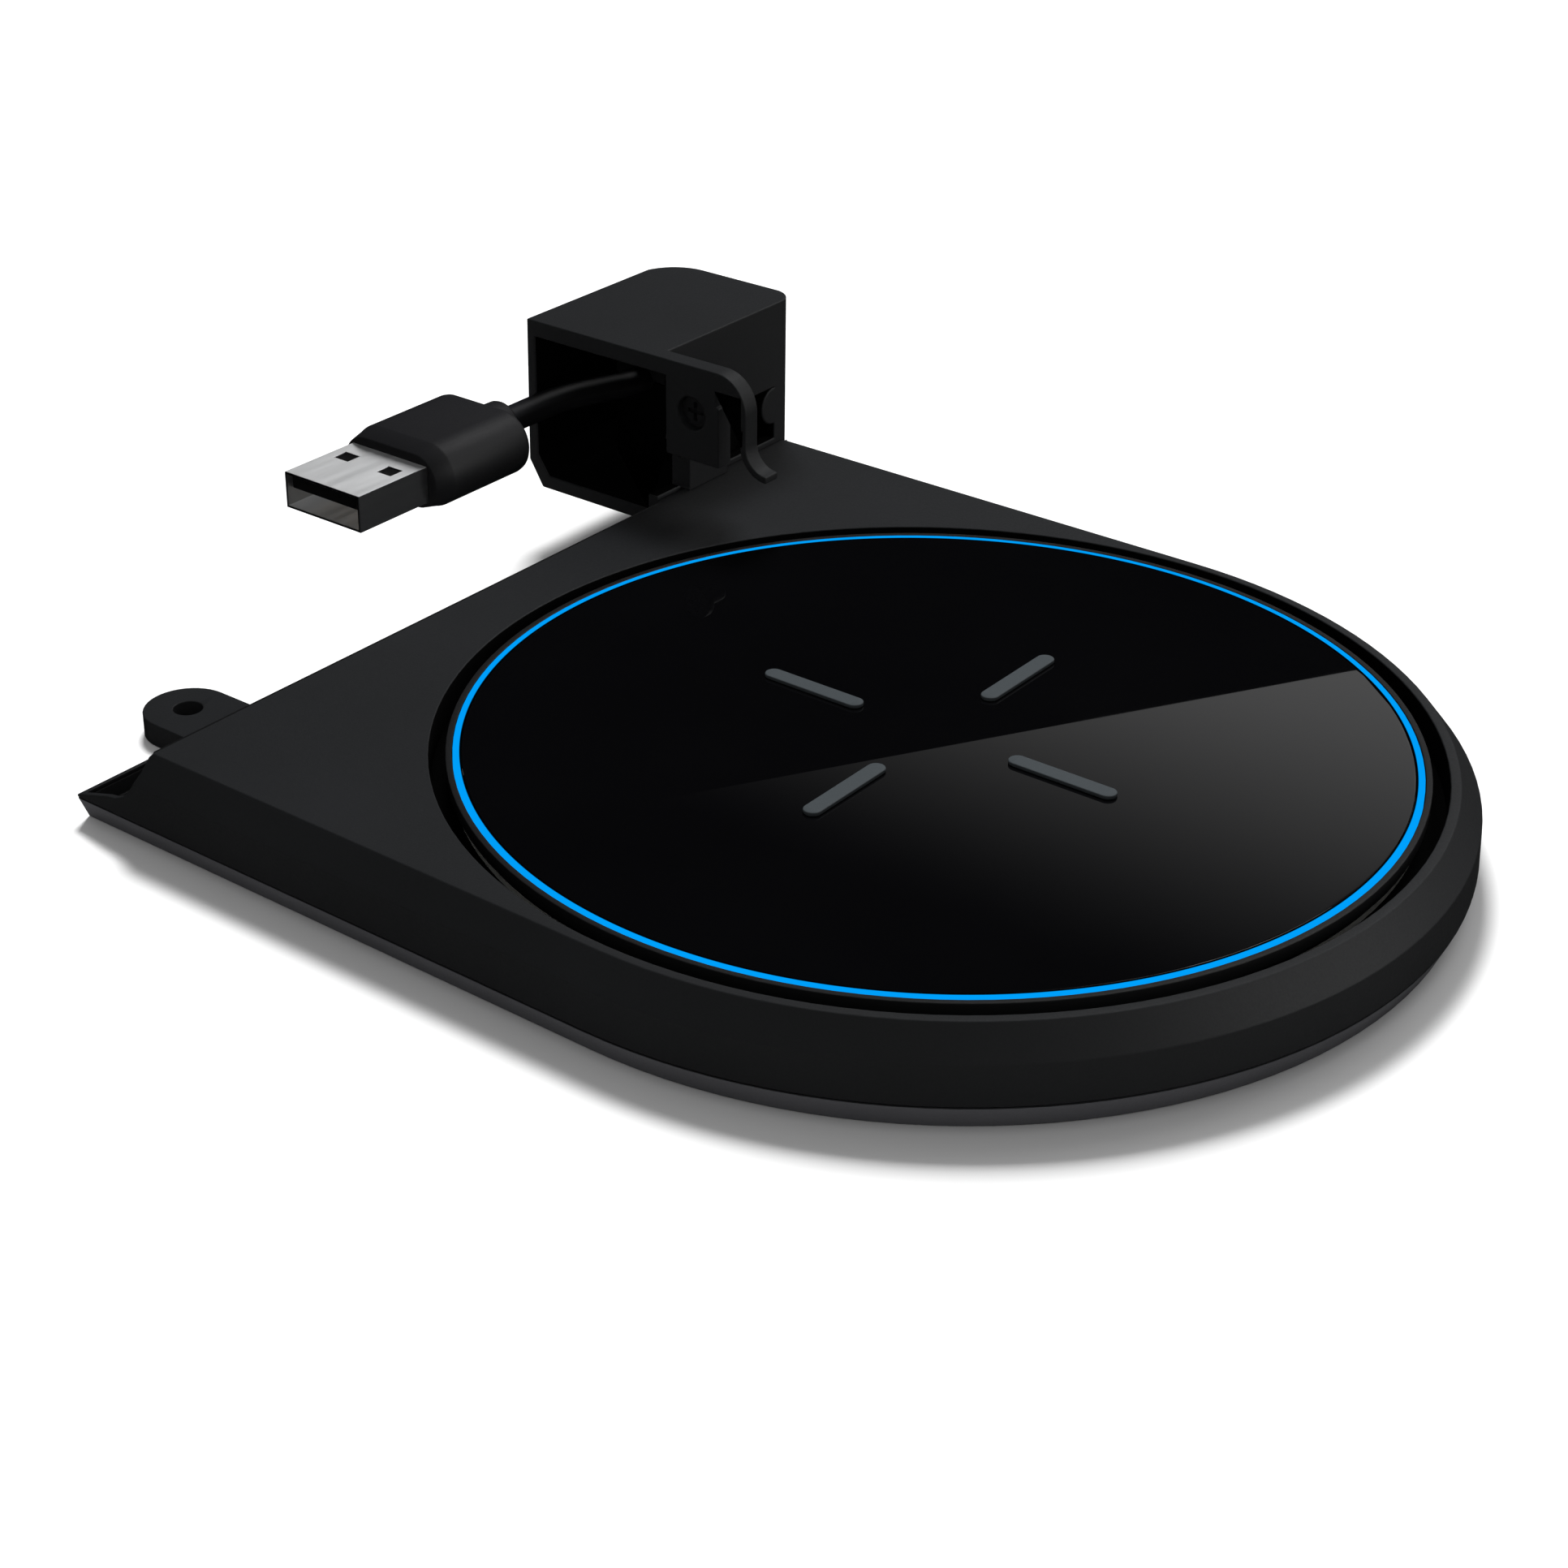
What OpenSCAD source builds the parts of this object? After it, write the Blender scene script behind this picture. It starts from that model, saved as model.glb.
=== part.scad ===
// Wireless charging pad with a raised cable box, a short plug lead and a screw-down ear.
// The pad's axis is the Z axis, the underside of its cover is z = 0, and the tail points along -X.

/* [Charging disc] */
// Radius of the glass the phone lies on
glass_r = 49.1; // [44:0.1:60]
// Thickness of the glass
glass_t = 1.2; // [1:0.1:1.3]
// Width of the glowing light guide around the glass
guide_w = 0.9; // [0.7:0.1:1.2]
// Width of the bezel's edge around the light guide
bezel_w = 0.75; // [0.7:0.05:1.2]
// Height of the bezel's edge
bezel_h = 1.5; // [1.4:0.1:1.8]
// Open groove between the bezel and the housing
well_gap = 1.75; // [1.2:0.05:2.5]

/* [Grip bars] */
// Length of each raised grip bar
bar_len = 12.7; // [9:0.1:15]
// Width of each grip bar
bar_w = 2; // [1.5:0.1:3]
// Height of each grip bar above the glass
bar_h = 0.45; // [0.3:0.05:0.8]
// Distance from the axis to the middle of each bar
bar_mid = 15.7; // [13:0.1:24]

/* [Housing] */
// Flat land between the well and the first facet
land_w = 1.05; // [0.9:0.05:3]
// How far the upper facet runs outwards
facet1_out = 2.4; // [2:0.1:4]
// How far the upper facet drops
facet1_drop = 3; // [1.5:0.05:3.2]
// How far the lower facet runs outwards
facet2_out = 0.2; // [0.1:0.05:2]
// How far the lower facet drops, down to the seam
facet2_drop = 4.4; // [3.4:0.05:4.5]
// How far the bottom cover draws in below the seam
under_in = 1.2; // [1:0.1:2]
// Height of the bottom cover
under_h = 2.85; // [2.6:0.05:3.6]
// Thickness of the housing's walls
wall = 1.6; // [1.2:0.1:1.8]
// Floor of the bottom cover
floor_t = 1.5; // [1.2:0.1:1.6]
// Flat land between the well and the tail's edge
tail_margin = 7.9; // [6:0.1:15]
// Length of the lip past the tail's edge
lip_len = 9.8; // [7:0.1:12]

/* [Ear] */
// Radius of the screw ear's round end
ear_r = 5; // [4:0.05:7]
// Radius of the screw hole in the ear
ear_hole_r = 1.65; // [1.2:0.05:2.2]
// Distance from the lip's tip out to the screw hole
ear_out = 6; // [5.5:0.1:12]
// Distance of the screw hole in front of the pad's axis
ear_front = 35.2; // [20:0.1:45]

/* [Cable box] */
// Width of the box
box_w = 21; // [18:0.1:26]
// Depth of the box
box_d = 27.6; // [25:0.1:34]
// Height of the box above the housing's top
box_h = 18.75; // [16:0.05:24]
// How far the box drops below the housing's top
box_drop = 3.35; // [3:0.05:3.4]
// How far the box stands back past the housing's top edge
box_back = 2.65; // [2:0.05:5]
// Thickness of the box's side walls
box_wall = 1.5; // [1:0.1:1.6]
// Thickness of the box's top
box_bar = 2.1; // [1.8:0.1:2.4]
// Thickness of the box's bottom
box_floor = 1.75; // [1.75:0.05:2.4]
// Width of the flange beyond the box
flange_w = 13.6; // [13:0.1:16]
// Thickness of the flange
flange_t = 2.4; // [2:0.1:3]

/* [Plug lead] */
// Diameter of the cord
cord_d = 3.4; // [3:0.1:4]
// Width of the plug's metal shell
shell_w = 12; // [12:0.1:12.2]
// Height of the plug's metal shell
shell_h = 4.5; // [4.5:0.1:4.7]
// Length of the metal shell outside the moulding
shell_len = 11.2; // [10:0.1:12]
// Width of the plug's moulding
plug_w = 16; // [14.5:0.1:18]
// Height of the plug's moulding
plug_h = 8; // [7:0.1:10]
// Length of the plug's moulding
plug_len = 16; // [14:0.5:20]

/* [Inside] */
// Outer radius of the charging coil
coil_r = 22.5; // [18:0.5:23.5]
// Radius of the hole in the coil
coil_hole_r = 10; // [7:0.5:12]
// Thickness of the coil
coil_t = 1.1; // [0.9:0.1:1.2]
// Length of the circuit board, along Y
board_l = 44; // [38:1:52]
// Width of the circuit board, along X
board_w = 22; // [20:1:24]

/* [Hidden] */

$fn = 96;
eps = 0.01;           // overshoot of a cut past the face it opens
fit = 0.05;           // clearance between pieces that slot together

// Heights, from the underside up
z_floor = floor_t;
z_seam = under_h;
z_edge = z_seam + facet2_drop;
z_top = z_edge + facet1_drop;
z_glass = z_top - glass_t;
tray_t = 1.1;         // floor of the disc tray
z_tray = z_glass - tray_t;
gasket_t = 0.5;
z_ledge = z_top - 3.9;
ledge_t = 1;
z_cavity = z_ledge - ledge_t;

// Radii, from the axis out
guide_r = glass_r + guide_w;
bezel_r = guide_r + bezel_w;
well_r = bezel_r + well_gap;
top_r = well_r + land_w;
edge_r = top_r + facet1_out;
seam_r = edge_r + facet2_out;
base_r = seam_r - under_in;
ledge_r = glass_r - 3.6;
cavity_r = seam_r - 2.2 - wall / 2;
foot_r = [glass_r - 3, glass_r - 1.4];

// The tail's own lines
tail_x = -(well_r + tail_margin);
tip_x = tail_x - lip_len;
tip_t = 0.3;          // thickness of the housing at the lip's tip

// The cable box's own lines
box_x1 = tail_x - 0.75;
box_x0 = box_x1 - box_w;
box_y1 = top_r + box_back;
box_y0 = box_y1 - box_d;
box_z0 = z_top - box_drop;
box_z1 = z_top + box_h;
mouth_x0 = box_x0 + box_wall;
mouth_x1 = box_x1 + 1.45;
mouth_z0 = box_z0 + box_floor;
mouth_z1 = box_z1 - box_bar;
flange_x1 = box_x1 + flange_w;
flange_y1 = box_y0 + flange_t;
box_fit = 0.1;        // gap between the box and the housing
tongue_t = 1.3;
tongue_y = [box_y0 + 4, box_y0 + 16];
tongue_x = tail_x + 9;

// The lead's own lines
cord_r = cord_d / 2;
plug_x = box_x0 + 3.7;
plug_z = z_top + 8.5;
neck_len = 3.5;
neck_r = 3;
tip_y = box_y0 - 39.4;
plug_y0 = tip_y + shell_len;
plug_y1 = plug_y0 + plug_len;
neck_y = plug_y1 + neck_len;
clamp_size = [box_w - 2 * box_wall - 2.4, 5, 4];
clamp_y0 = box_y1 - box_wall - 13;
lead_w = 2.2;
lead_t = 1;
lead_y = clamp_y0 + clamp_size[1] + 1.6;
lead_z = box_z0 + 0.6;
lead_x = box_x1 - 4;

// Route of the cord, from the plug's neck into the clamp, as steps from the plug's line and the box's front
cord_steps = [[0, -12.1], [0, -9.6], [0, -6.6], [0, -3.6], [0.05, -0.6], [0.45, 2.4], [1.35, 5.4],
    [2.55, 8.4], [3.55, 10.9], [3.95, 13.4], [3.95, 15.9], [3.95, 18.6]];
cord_route = [for (p = cord_steps) [plug_x + p[0], box_y0 + p[1], plug_z]];

// ---------- shared shapes ----------

// A D outline: half a circle of radius r to the right, straight sides to x0 on the left
module d_outline(r, x0) {
    circle(r = r);
    translate([x0, -r]) square([-x0, 2 * r]);
}

// The D solid whose edge follows a section of [radius, height] points, from the bottom up
module d_solid(section, x0) {
    last = len(section) - 1;
    ends = [[0, section[last][1]], [0, section[0][1]]];
    left_half = [for (i = [last : -1 : 0]) [-section[i][0], section[i][1]]];
    rotate([0, 0, -90]) rotate_extrude(angle = 180) polygon(concat(section, ends));
    translate([x0, 0, 0]) rotate([90, 0, 90]) linear_extrude(-x0) polygon(concat(section, left_half));
}

module ring(r0, r1, z0, z1) {
    translate([0, 0, z0]) difference() {
        cylinder(r = r1, h = z1 - z0);
        translate([0, 0, -eps]) cylinder(r = r0, h = z1 - z0 + 2 * eps);
    }
}

module block(p, size) { translate(p) cube(size); }

// A screw with its head's seat at the origin, its shank along +Z and a cross recess in its head
module screw(head_r, head_h, shank_r, shank_l) {
    recess = [head_r * 1.2, head_r * 0.26, head_h * 0.5];
    difference() {
        translate([0, 0, -head_h]) cylinder(r = head_r, h = head_h, $fn = 32);
        for (a = [0, 90]) rotate([0, 0, a])
            translate([-recess[0] / 2, -recess[1] / 2, -head_h - eps]) cube([recess[0], recess[1], recess[2]]);
    }
    translate([0, 0, -eps]) cylinder(r = shank_r, h = shank_l + eps, $fn = 32);
}

// ---------- housing ----------

// Case screws come up through the bottom cover: four under the well's ledge, two in the tail
screw_r = 1.1;
screw_head = [1.9, 1.1];
screw_hole_r = screw_r + fit;
boss_r = 2.5;
boss_ring = (ledge_r + well_r) / 2;
tail_spot = tail_x + 5.5;
case_spots = concat([[tail_spot, -(top_r - 6.5)], [tail_spot + 10.5, top_r - 6.5]],
    [for (a = [-85, -30, 30, 85]) boss_ring * [cos(a), sin(a)]]);
box_spots = [for (y = tongue_y) [tail_spot, y + 3 * sign(box_y0 + 10 - y)]];
z_seat = screw_head[1] + 0.4;
z_boss = z_seat + 0.9;

// The lip seen along Y: down from the tail's edge, round a hollow and out to the thin tip
hollow_drop = z_top - z_seam - 1.7;
hollow_run = 4.6;
lip_section = concat([[tail_x + eps, z_top]],
    [for (a = [0 : 15 : 90]) [tail_x - 0.3 - hollow_run * (1 - cos(a)), z_seam + 1.7 + (hollow_drop - 0.5) * (1 - sin(a))]],
    [[tip_x, z_seam + tip_t], [tip_x, z_seam], [tail_x + eps, z_seam]]);

// The deep hollow behind the lip, inside a thin front wall and a thin rim
lip_wall = 0.7;
hollow_z = 1;

module lip_hollow() {
    inset = [[base_r - lip_wall, hollow_z], [seam_r - lip_wall, z_seam], [edge_r - lip_wall, z_edge],
        [top_r - lip_wall, z_top + 1]];
    intersection() {
        d_solid(inset, tip_x);
        block([tip_x + lip_wall, -seam_r, hollow_z], [lip_len - lip_wall - 0.25, seam_r + box_y0 - 1.5, z_top]);
    }
}

module housing_outer() {
    section = [[seam_r, z_seam], [edge_r, z_edge], [top_r, z_top]];
    d_solid(section, tail_x);
    intersection() {
        d_solid(section, tip_x);
        translate([0, seam_r, 0]) rotate([90, 0, 0]) linear_extrude(2 * seam_r) polygon(lip_section);
    }
    // the tail's end carried out to the box
    block([box_x1 + box_fit, box_y0 - box_fit, z_seam], [wall, top_r - box_y0 + box_fit, z_top - z_seam]);
}

module housing_cavity() {
    x0 = tail_x + wall;
    half = top_r - 2.4;
    translate([0, 0, z_seam - eps]) linear_extrude(z_cavity - z_seam + eps) d_outline(cavity_r, x0);
    difference() {
        block([x0, -half, z_cavity - eps], [-x0 - 20, 2 * half, z_top - wall - z_cavity + eps]);
        translate([0, 0, z_seam]) cylinder(r = well_r + wall, h = z_top);
    }
}

module top_housing() color([0.1, 0.1, 0.11]) {
    difference() {
        housing_outer();
        difference() {
            housing_cavity();
            for (p = case_spots) translate([p[0], p[1], z_boss + fit]) cylinder(r = boss_r, h = z_top, $fn = 48);
        }
        translate([0, 0, z_ledge]) cylinder(r = well_r, h = z_top);
        translate([0, 0, z_seam - 1]) cylinder(r = ledge_r, h = z_top);
        for (p = case_spots) translate([p[0], p[1], z_seam - 1]) cylinder(r = screw_hole_r, h = 3.3, $fn = 32);
        lip_hollow();
        // seat of the cable box on the lip, its tongue's slot and the lead's way in
        block([tip_x - 1, box_y0 - box_fit, box_z0 - box_fit], [box_x1 + box_fit - tip_x + 1, 2 * seam_r, z_top]);
        block([box_x1, tongue_y[0] - box_fit, box_z0 - box_fit],
            [wall + 2, tongue_y[1] - tongue_y[0] + 2 * box_fit, tongue_t + 2 * box_fit]);
        block([box_x1, lead_y - lead_w / 2 - 0.2, lead_z - 0.2], [wall + 2, lead_w + 0.4, lead_t + 0.4]);
    }
}

module cover_section(r_low, r_high, z0, z1, x0) {
    d_solid([[r_low, z0], [r_high, z1]], x0);
}

board_x1 = -24;
board_x0 = board_x1 - board_w;
board_z = z_floor + 0.6;
board_t = 1;
board_spots = [for (s = [-1, 1]) [board_x1 - 3, s * (board_l / 2 - 3)]];
pad_groove = 0.3;
pad_r = [41, 44];
rim_in = wall + under_in;

module bottom_cover() color([0.12, 0.12, 0.13]) {
    difference() {
        union() {
            difference() {
                cover_section(base_r, seam_r, 0, z_seam - fit, tip_x);
                translate([0, 0, z_floor]) linear_extrude(z_seam) d_outline(seam_r - rim_in, tail_x + wall);
            }
            for (p = case_spots) translate([p[0], p[1], eps]) cylinder(r = boss_r + 0.8, h = z_boss - eps, $fn = 48);
            for (p = box_spots) translate([p[0], p[1], eps]) cylinder(r = boss_r + 0.4, h = box_z0 - box_fit - eps, $fn = 48);
            for (p = board_spots) translate([p[0], p[1], eps]) cylinder(r = 2, h = board_z - eps, $fn = 48);
            // the ear
            translate([tip_x - ear_out, -ear_front, 0]) cylinder(r = ear_r, h = z_seam - fit);
            block([tip_x - ear_out, -ear_front - ear_r, 0], [ear_out + 1, 2 * ear_r, z_seam - fit]);
        }
        for (p = concat(case_spots, box_spots)) translate([p[0], p[1], -1]) {
            cylinder(r = screw_hole_r + 0.1, h = z_top, $fn = 32);
            cylinder(r = screw_head[0] + 0.2, h = 1 + z_seat, $fn = 32);
        }
        lip_hollow();
        for (p = board_spots) translate([p[0], p[1], board_z - 1.6]) cylinder(r = 0.75, h = 5, $fn = 32);
        ring(pad_r[0], pad_r[1], -1, pad_groove);
        translate([tip_x - ear_out, -ear_front, -1]) cylinder(r = ear_hole_r, h = z_seam + 2, $fn = 48);
    }
}

module base_pad() color([0.05, 0.05, 0.05]) ring(pad_r[0] + fit, pad_r[1] - fit, 0, pad_groove);

module case_screws() color([0.55, 0.55, 0.57]) {
    for (p = case_spots) translate([p[0], p[1], z_seat]) screw(screw_head[0], screw_head[1], screw_r, 2.9);
}

module box_screws() color([0.55, 0.55, 0.57]) {
    for (p = box_spots) translate([p[0], p[1], z_seat]) screw(screw_head[0], screw_head[1], screw_r, box_z0 + 1.1 - z_seat);
}

// ---------- disc ----------

module disc_tray() color([0.03, 0.03, 0.03]) {
    difference() {
        union() {
            translate([0, 0, z_tray]) cylinder(r = guide_r + 0.2, h = tray_t);
            translate([0, 0, z_top - bezel_h]) cylinder(r = bezel_r, h = bezel_h);
            ring(foot_r[0], foot_r[1], z_ledge + gasket_t, z_tray + eps);
        }
        translate([0, 0, z_glass]) cylinder(r = guide_r + fit, h = z_top);
        for (a = led_angles) rotate([0, 0, a]) block([glass_r - 0.9, -1.2, z_tray - eps], [1.6, 2.4, z_top]);
    }
}

module tray_gasket() color([0.2, 0.2, 0.2]) ring(foot_r[0] - 0.8, foot_r[1] + 0.8, z_ledge, z_ledge + gasket_t);

module glass_top() color([0.02, 0.02, 0.02]) {
    translate([0, 0, z_glass]) cylinder(r = glass_r, h = glass_t);
}

module light_guide() color([0.1, 0.6, 1]) ring(glass_r + fit, guide_r, z_glass, z_top);

// One grip bar: a flat strip with round ends, standing on the glass
module grip_bar() {
    run = bar_len / 2 - bar_w / 2;
    block([-run, -bar_w / 2, 0], [2 * run, bar_w, bar_h]);
    for (s = [-1, 1]) translate([s * run, 0, 0]) cylinder(r = bar_w / 2, h = bar_h, $fn = 32);
}

module grip_bars() color([0.28, 0.3, 0.31]) {
    for (a = [0 : 90 : 270]) rotate([0, 0, a]) translate([bar_mid, 0, z_top]) grip_bar();
}

led_count = 12;
led_angles = [for (i = [0 : led_count - 1]) i * 360 / led_count + 15];
led_board_t = 0.6;
led_mid = glass_r - 0.1;
led_size = [1.2, 1.8, 0.7];

// A thin ring of board under the tray's edge, outside the tray's foot
module led_board() color([0.85, 0.85, 0.8]) {
    difference() {
        ring(foot_r[1] + 0.1, guide_r + 0.2, z_tray - led_board_t, z_tray);
        block([-bezel_r - 1, -2, 0], [4, 4, z_top]);
    }
}

module leds() color([0.95, 0.95, 0.6]) {
    for (a = led_angles) rotate([0, 0, a])
        block([led_mid - led_size[0] / 2, -led_size[1] / 2, z_tray], led_size);
}

// ---------- coil and board ----------

module charging_coil() color([0.7, 0.4, 0.15]) ring(coil_hole_r, coil_r, z_tray - coil_t, z_tray);

ferrite_t = 0.8;
ferrite_z = z_tray - coil_t - ferrite_t;
ferrite_half = coil_r + 1;

module ferrite_sheet() color([0.15, 0.15, 0.16]) {
    block([-ferrite_half + 2, -ferrite_half, ferrite_z], [2 * ferrite_half - 2, 2 * ferrite_half, ferrite_t]);
}

wire_d = 0.8;
wire_z = board_z + board_t + wire_d / 2;

// Two wires from the coil's edge down to the board
module coil_leads() color([0.75, 0.42, 0.16]) {
    for (s = [-1, 1]) translate([0, s * 2.2, 0]) {
        translate([-coil_r - 3, 0, z_tray - coil_t / 2]) rotate([0, 90, 0]) cylinder(d = wire_d, h = 3, $fn = 16);
        translate([-coil_r - 3, 0, board_z + board_t]) cylinder(d = wire_d, h = z_tray - coil_t / 2 - board_z - board_t + wire_d / 2, $fn = 16);
    }
}

module thermistor() color([0.1, 0.1, 0.1]) translate([0, 0, z_tray - 1]) cylinder(r = 1.6, h = 1, $fn = 32);

module main_board() color([0.05, 0.3, 0.15]) {
    difference() {
        block([board_x0, -board_l / 2, board_z], [board_w, board_l, board_t]);
        for (p = board_spots) translate([p[0], p[1], board_z - 1]) cylinder(r = 1.1, h = 3, $fn = 32);
    }
}

z_parts = board_z + board_t;
part_x = board_x1 - 7;

module driver_chips() color([0.08, 0.08, 0.09]) {
    for (y = [-11, 8]) block([part_x, y, z_parts], [4, 4, 0.9]);
    block([part_x, -1.5, z_parts], [3, 3, 0.8]);
}

module resonance_capacitors() color([0.7, 0.6, 0.45]) {
    for (i = [0 : 3]) block([part_x - 5, -13 + i * 2.6, z_parts], [3.2, 1.6, 1.1]);
}

module inductor() color([0.2, 0.2, 0.22]) block([part_x - 5.5, 3, z_parts], [4.5, 4.5, 1.8]);

connector_size = [4.6, 4, 1.9];
connector_x = board_x1 - 14.5;
connector_y = board_l / 2 - 7;

module lead_connector() color([0.9, 0.88, 0.8]) {
    block([connector_x, connector_y, z_parts], connector_size);
}

module board_screws() color([0.6, 0.6, 0.62]) {
    for (p = board_spots) translate([p[0], p[1], z_parts]) rotate([180, 0, 0]) screw(1.7, 0.9, 0.7, board_t + 1.4);
}

// ---------- cable box ----------

box_round = [6, 3];   // left and right back corners
box_chamfer = [2.1, 3.35];
box_draft = 0.25;
flange_round = 4.5;
slot_w = 3.2;
leg_w = 0.85;
slot_x1 = flange_x1 - leg_w;
slot_x0 = slot_x1 - slot_w;
slot_top = mouth_z1 - 0.4;
leg_z = z_top + 10.4;
panel_z = z_top + 6.6;
hook_r = 3.9;
screw_x = box_x1 + 5.4;
screw_z = z_top + 12.7;
screw_boss = [2.7, 3];    // radius and length of the screw's boss behind the flange
side_x = box_x1 + 1.45;   // outer face of the thicker part of the right wall
side_y = [box_y0 + 4.5, box_y0 + 12];
window_y1 = box_y1 - 4.2;
window_z = [z_top + 0.6, z_top + 7.6];
window_boss = [2.4, 5.1]; // radius and height of the round boss at the window's back end

module box_outer() {
    intersection() {
        translate([0, box_y1, 0]) rotate([90, 0, 0]) linear_extrude(box_d) polygon([
            [box_x0 + box_chamfer[0], box_z0], [box_x1, box_z0], [box_x1, box_z1],
            [box_x0 + box_draft, box_z1], [box_x0, box_z0 + box_chamfer[1]]]);
        translate([0, 0, box_z0]) linear_extrude(box_z1 - box_z0) {
            translate([box_x0, box_y0]) square([box_w, box_d - box_round[0]]);
            translate([box_x0 + box_round[0], box_y0]) square([box_w - box_round[0] - box_round[1], box_d]);
            translate([box_x0 + box_round[0], box_y1 - box_round[0]]) circle(r = box_round[0]);
            translate([box_x1 - box_round[1], box_y1 - box_round[1]]) circle(r = box_round[1]);
            translate([box_x1 - box_round[1], box_y0]) square([box_round[1], box_d - box_round[1]]);
        }
    }
}

// The flange's front view: a panel with a rounded corner, an open slot and a curled hook for a cord
module flange_outline() {
    difference() {
        translate([box_x1, panel_z]) square([flange_w, box_z1 - panel_z]);
        translate([flange_x1 - flange_round, box_z1 - flange_round]) square(flange_round + 1);
        translate([slot_x0, panel_z - 1]) square([slot_w, slot_top - panel_z + 1]);
        translate([slot_x1 - eps, panel_z - 1]) square([leg_w + 1, leg_z - panel_z + 1]);
    }
    intersection() {
        translate([flange_x1 - flange_round, box_z1 - flange_round]) circle(r = flange_round);
        translate([flange_x1 - flange_round, box_z1 - box_bar - 0.4]) square([flange_round, box_bar + 0.4]);
    }
    intersection() {
        translate([flange_x1 - flange_round, box_z1 - flange_round]) circle(r = flange_round);
        translate([slot_x1, leg_z]) square([leg_w, box_z1 - leg_z]);
    }
    intersection() {
        translate([slot_x1 + hook_r, leg_z]) difference() {
            circle(r = hook_r);
            circle(r = hook_r - leg_w);
        }
        translate([slot_x1, leg_z - hook_r]) square([hook_r, hook_r + eps]);
    }
}

// The mouth's front view: square but for the corner that follows the box's chamfer
module mouth_outline(x1) {
    cut = [box_chamfer[0] - 0.4, box_chamfer[1] - 0.9];
    polygon([[mouth_x0 + cut[0], mouth_z0], [x1, mouth_z0], [x1, mouth_z1], [mouth_x0, mouth_z1],
        [mouth_x0, mouth_z0 + cut[1]]]);
}

module cable_box() color([0.1, 0.1, 0.11]) {
    inner_y1 = box_y1 - box_wall;
    inner_x1 = box_x1 - box_wall;
    side_t = 1;
    boss_y = box_y1 - box_round[1] - 1.4;
    difference() {
        union() {
            box_outer();
            translate([0, flange_y1, 0]) rotate([90, 0, 0]) linear_extrude(flange_t) flange_outline();
            // the side wall, thicker behind the flange and standing on the housing
            block([box_x1 - 1, box_y0, panel_z], [side_x + side_t - box_x1 + 1, side_y[0] - box_y0, box_z1 - 2.6 - panel_z]);
            block([box_x1 - 1, side_y[0] - eps, z_top + fit], [side_x - box_x1 + 1, side_y[1] - side_y[0], 7.5]);
            translate([screw_x, flange_y1 - eps, screw_z]) rotate([-90, 0, 0]) cylinder(r = screw_boss[0], h = screw_boss[1], $fn = 48);
            block([box_x1 - 1, tongue_y[0], box_z0], [tongue_x - box_x1 + 1, tongue_y[1] - tongue_y[0], tongue_t]);
        }
        translate([0, inner_y1, 0]) rotate([90, 0, 0]) linear_extrude(box_d) mouth_outline(inner_x1);
        // the mouth's wider front, open at the side under the flange
        block([inner_x1 - 1, box_y0 - 1, panel_z], [side_x - inner_x1 + 1, side_y[0] - box_y0 - 0.2, mouth_z1 - panel_z]);
        block([inner_x1 - 1, box_y0 - 1, z_top + 0.4], [side_x - inner_x1 + 3, side_y[0] - box_y0 + 1, panel_z - z_top - 0.4 + eps]);
        // the side window, with a round boss at its back end
        difference() {
            block([inner_x1 - 1, side_y[1], window_z[0]], [box_wall + 4, window_y1 - side_y[1], window_z[1] - window_z[0]]);
            translate([inner_x1 - 2, boss_y, z_top + window_boss[1]]) rotate([0, 90, 0]) cylinder(r = window_boss[0], h = box_wall + 6, $fn = 48);
        }
        translate([screw_x, box_y0 - 1, screw_z]) rotate([-90, 0, 0]) cylinder(r = 2.1, h = 2.9, $fn = 48);
        translate([screw_x, box_y0 - 1, screw_z]) rotate([-90, 0, 0]) cylinder(r = screw_hole_r, h = 10, $fn = 32);
        for (p = box_spots) translate([p[0], p[1], box_z0 - 1]) cylinder(r = screw_hole_r, h = 5, $fn = 32);
        // the lead's way down and out under the tail's top
        block([lead_x - 0.2, lead_y - lead_w / 2 - 0.2, lead_z - 0.2], [10, lead_w + 0.4, lead_t + 0.4]);
        block([lead_x - 0.2, lead_y - lead_w / 2 - 0.2, lead_z - 0.2], [lead_t + 0.4, lead_w + 0.4, 4]);
    }
    // the clamp's lower saddle, one solid with the box's bottom
    difference() {
        block([saddle_x0, clamp_y0, mouth_z0 - eps], [clamp_size[0], clamp_size[1], plug_z - mouth_z0]);
        translate([cord_end[0], clamp_y0 - 1, plug_z]) rotate([-90, 0, 0]) cylinder(r = cord_r + fit, h = clamp_size[1] + 2);
        for (s = [-1, 1]) translate([clamp_mid_x + s * clamp_span, clamp_y0 + clamp_size[1] / 2, plug_z - 3])
            cylinder(r = 0.8, h = 4, $fn = 32);
    }
}

saddle_x0 = mouth_x0 + 1.9;
clamp_mid_x = saddle_x0 + clamp_size[0] / 2;
clamp_span = clamp_size[0] / 2 - 2.4;
cord_end = cord_route[len(cord_route) - 1];

module cord_clamp() color([0.14, 0.14, 0.15]) {
    difference() {
        block([saddle_x0, clamp_y0, plug_z + 0.1], clamp_size);
        translate([cord_end[0], clamp_y0 - 1, plug_z]) rotate([-90, 0, 0]) cylinder(r = cord_r + fit, h = clamp_size[1] + 2);
        for (s = [-1, 1]) translate([clamp_mid_x + s * clamp_span, clamp_y0 + clamp_size[1] / 2, plug_z - 1])
            cylinder(r = 1, h = 9, $fn = 32);
    }
}

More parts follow.
